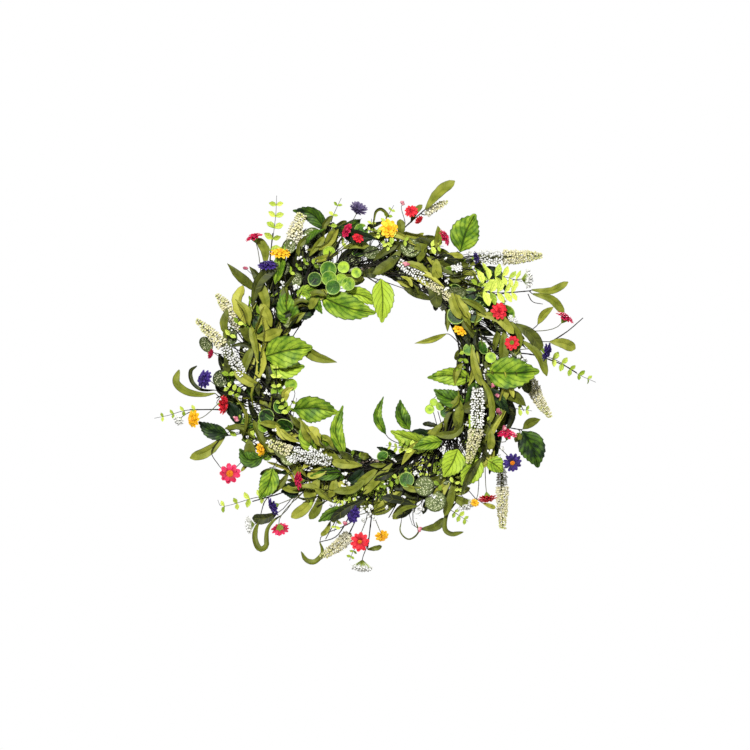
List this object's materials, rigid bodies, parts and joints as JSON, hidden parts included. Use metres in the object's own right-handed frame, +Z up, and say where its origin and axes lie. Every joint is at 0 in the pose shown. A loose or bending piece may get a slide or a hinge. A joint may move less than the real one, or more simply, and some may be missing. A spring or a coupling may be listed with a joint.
{
  "type": "wildflower wreath",
  "caption": "Artificial wildflower wreath: mixed flower, spike, fern and leaf sprigs bound all one way round a vine-wrapped wire hoop.",
  "frame": {"origin": "where a hook carries the ring: the top of the vine bundle's inner edge, on the hoop's plane", "axes": "the ring lies in the XZ plane; +X to the right seen from the front, +Z up, and the flowers face -Y"},
  "size_m": [0.5562, 0.0695, 0.4916],
  "materials": {
    "hoop_steel": "satin",
    "vine_bark": "matte",
    "binding_tape": "matte",
    "mint_leaf": "matte",
    "strap_leaf": "matte",
    "eucalyptus_leaf": "matte",
    "round_leaf": "matte",
    "fern_frond": "matte",
    "red_petal": "matte",
    "pink_petal": "matte",
    "purple_petal": "matte",
    "yellow_petal": "matte",
    "cream_floret": "matte",
    "white_floret": "matte"
  },
  "bodies": {
    "wreath_ring": {"wire_hoop": "hoop_steel", "vine_strand_1": "vine_bark", "vine_strand_2": "vine_bark", "vine_strand_3": "vine_bark", "binding_1": "binding_tape", "binding_2": "binding_tape", "binding_3": "binding_tape", "binding_4": "binding_tape", "binding_5": "binding_tape", "binding_6": "binding_tape", "binding_7": "binding_tape", "binding_8": "binding_tape", "binding_9": "binding_tape", "binding_10": "binding_tape", "binding_11": "binding_tape", "binding_12": "binding_tape", "daisy_sprig_1": "yellow_petal", "mint_leaf_sprig_1": "mint_leaf", "mint_leaf_sprig_2": "mint_leaf", "flower_spike_2": "cream_floret", "daisy_sprig_2": "pink_petal", "fern_sprig_1": "fern_frond", "daisy_sprig_4": "purple_petal", "mint_leaf_sprig_3": "mint_leaf", "flower_spike_4": "cream_floret", "daisy_sprig_5": "red_petal", "eucalyptus_sprig_1": "eucalyptus_leaf", "mint_leaf_sprig_5": "mint_leaf", "strap_leaf_sprig_3": "strap_leaf", "daisy_sprig_6": "red_petal", "daisy_sprig_7": "purple_petal", "strap_leaf_sprig_4": "strap_leaf", "flower_spike_7": "cream_floret", "mint_leaf_sprig_6": "mint_leaf", "daisy_sprig_9": "purple_petal", "mint_leaf_sprig_7": "mint_leaf", "flower_spike_8": "cream_floret", "flower_spike_9": "cream_floret", "daisy_sprig_10": "yellow_petal", "strap_leaf_sprig_6": "strap_leaf", "fern_sprig_5": "fern_frond", "mint_leaf_sprig_8": "mint_leaf", "eucalyptus_sprig_2": "eucalyptus_leaf", "round_leaf_sprig_1": "round_leaf", "mint_leaf_sprig_9": "mint_leaf", "daisy_sprig_11": "pink_petal"},
    "strap_leaf_sprig_1": {"strap_leaf_sprig_1": "strap_leaf"},
    "flower_spike_1": {"flower_spike_1": "cream_floret"},
    "strap_leaf_sprig_2": {"strap_leaf_sprig_2": "strap_leaf"},
    "daisy_sprig_3": {"daisy_sprig_3": "red_petal"},
    "fern_sprig_2": {"fern_sprig_2": "fern_frond"},
    "flower_spike_3": {"flower_spike_3": "cream_floret"},
    "mint_leaf_sprig_4": {"mint_leaf_sprig_4": "mint_leaf"},
    "flower_spike_5": {"flower_spike_5": "cream_floret"},
    "umbel_sprig_1": {"umbel_sprig_1": "white_floret"},
    "flower_spike_6": {"flower_spike_6": "cream_floret"},
    "fern_sprig_3": {"fern_sprig_3": "fern_frond"},
    "daisy_sprig_8": {"daisy_sprig_8": "pink_petal"},
    "strap_leaf_sprig_5": {"strap_leaf_sprig_5": "strap_leaf"},
    "fern_sprig_4": {"fern_sprig_4": "fern_frond"}
  },
  "joints": [
    {"name": "strap_leaf_sprig_1_bend", "type": "hinge", "parent": "wreath_ring", "child": "strap_leaf_sprig_1", "pos_m": [-0.02309, 0, 0.01218], "axis": [0.9848, 0, 0.1736], "range_deg": [-10, 20]},
    {"name": "flower_spike_1_bend", "type": "hinge", "parent": "wreath_ring", "child": "flower_spike_1", "pos_m": [0.04483, -0.00511, 0.00443], "axis": [0.9397, 0, -0.342], "range_deg": [-10, 18]},
    {"name": "strap_leaf_sprig_2_bend", "type": "hinge", "parent": "wreath_ring", "child": "strap_leaf_sprig_2", "pos_m": [0.10185, 0, -0.03329], "axis": [0.6428, 0, -0.766], "range_deg": [-10, 20]},
    {"name": "daisy_sprig_3_bend", "type": "hinge", "parent": "wreath_ring", "child": "daisy_sprig_3", "pos_m": [0.10042, -0.00511, -0.03449], "axis": [0.6428, 0, -0.766], "range_deg": [-8, 25]},
    {"name": "fern_sprig_2_bend", "type": "hinge", "parent": "wreath_ring", "child": "fern_sprig_2", "pos_m": [0.13093, 0, -0.09566], "axis": [0.1736, 0, -0.9848], "range_deg": [-12, 9]},
    {"name": "flower_spike_3_bend", "type": "hinge", "parent": "wreath_ring", "child": "flower_spike_3", "pos_m": [0.1291, 0.00511, -0.09599], "axis": [0.1736, 0, -0.9848], "range_deg": [-12, 20]},
    {"name": "mint_leaf_sprig_4_bend", "type": "hinge", "parent": "wreath_ring", "child": "mint_leaf_sprig_4", "pos_m": [0.12493, 0, -0.16422], "axis": [-0.342, 0, -0.9397], "range_deg": [-10, 25]},
    {"name": "flower_spike_5_bend", "type": "hinge", "parent": "wreath_ring", "child": "flower_spike_5", "pos_m": [0.12318, 0.00511, -0.16359], "axis": [-0.342, 0, -0.9397], "range_deg": [-12, 15]},
    {"name": "umbel_sprig_1_bend", "type": "hinge", "parent": "wreath_ring", "child": "umbel_sprig_1", "pos_m": [0.02309, 0, -0.24968], "axis": [-0.9848, 0, -0.1736], "range_deg": [-10, 14]},
    {"name": "flower_spike_6_bend", "type": "hinge", "parent": "wreath_ring", "child": "flower_spike_6", "pos_m": [0.02276, 0.00511, -0.24785], "axis": [-0.9848, 0, -0.1736], "range_deg": [-12, 25]},
    {"name": "fern_sprig_3_bend", "type": "hinge", "parent": "wreath_ring", "child": "fern_sprig_3", "pos_m": [-0.04483, 0.00511, -0.24193], "axis": [-0.9397, 0, 0.342], "range_deg": [-12, 15]},
    {"name": "daisy_sprig_8_bend", "type": "hinge", "parent": "wreath_ring", "child": "daisy_sprig_8", "pos_m": [-0.10042, -0.00511, -0.20301], "axis": [-0.6428, 0, 0.766], "range_deg": [-10, 25]},
    {"name": "strap_leaf_sprig_5_bend", "type": "hinge", "parent": "wreath_ring", "child": "strap_leaf_sprig_5", "pos_m": [-0.10185, 0, -0.20421], "axis": [-0.6428, 0, 0.766], "range_deg": [-10, 25]},
    {"name": "fern_sprig_4_bend", "type": "hinge", "parent": "wreath_ring", "child": "fern_sprig_4", "pos_m": [-0.10042, 0.00511, -0.20301], "axis": [-0.6428, 0, 0.766], "range_deg": [-12, 15]}
  ]
}
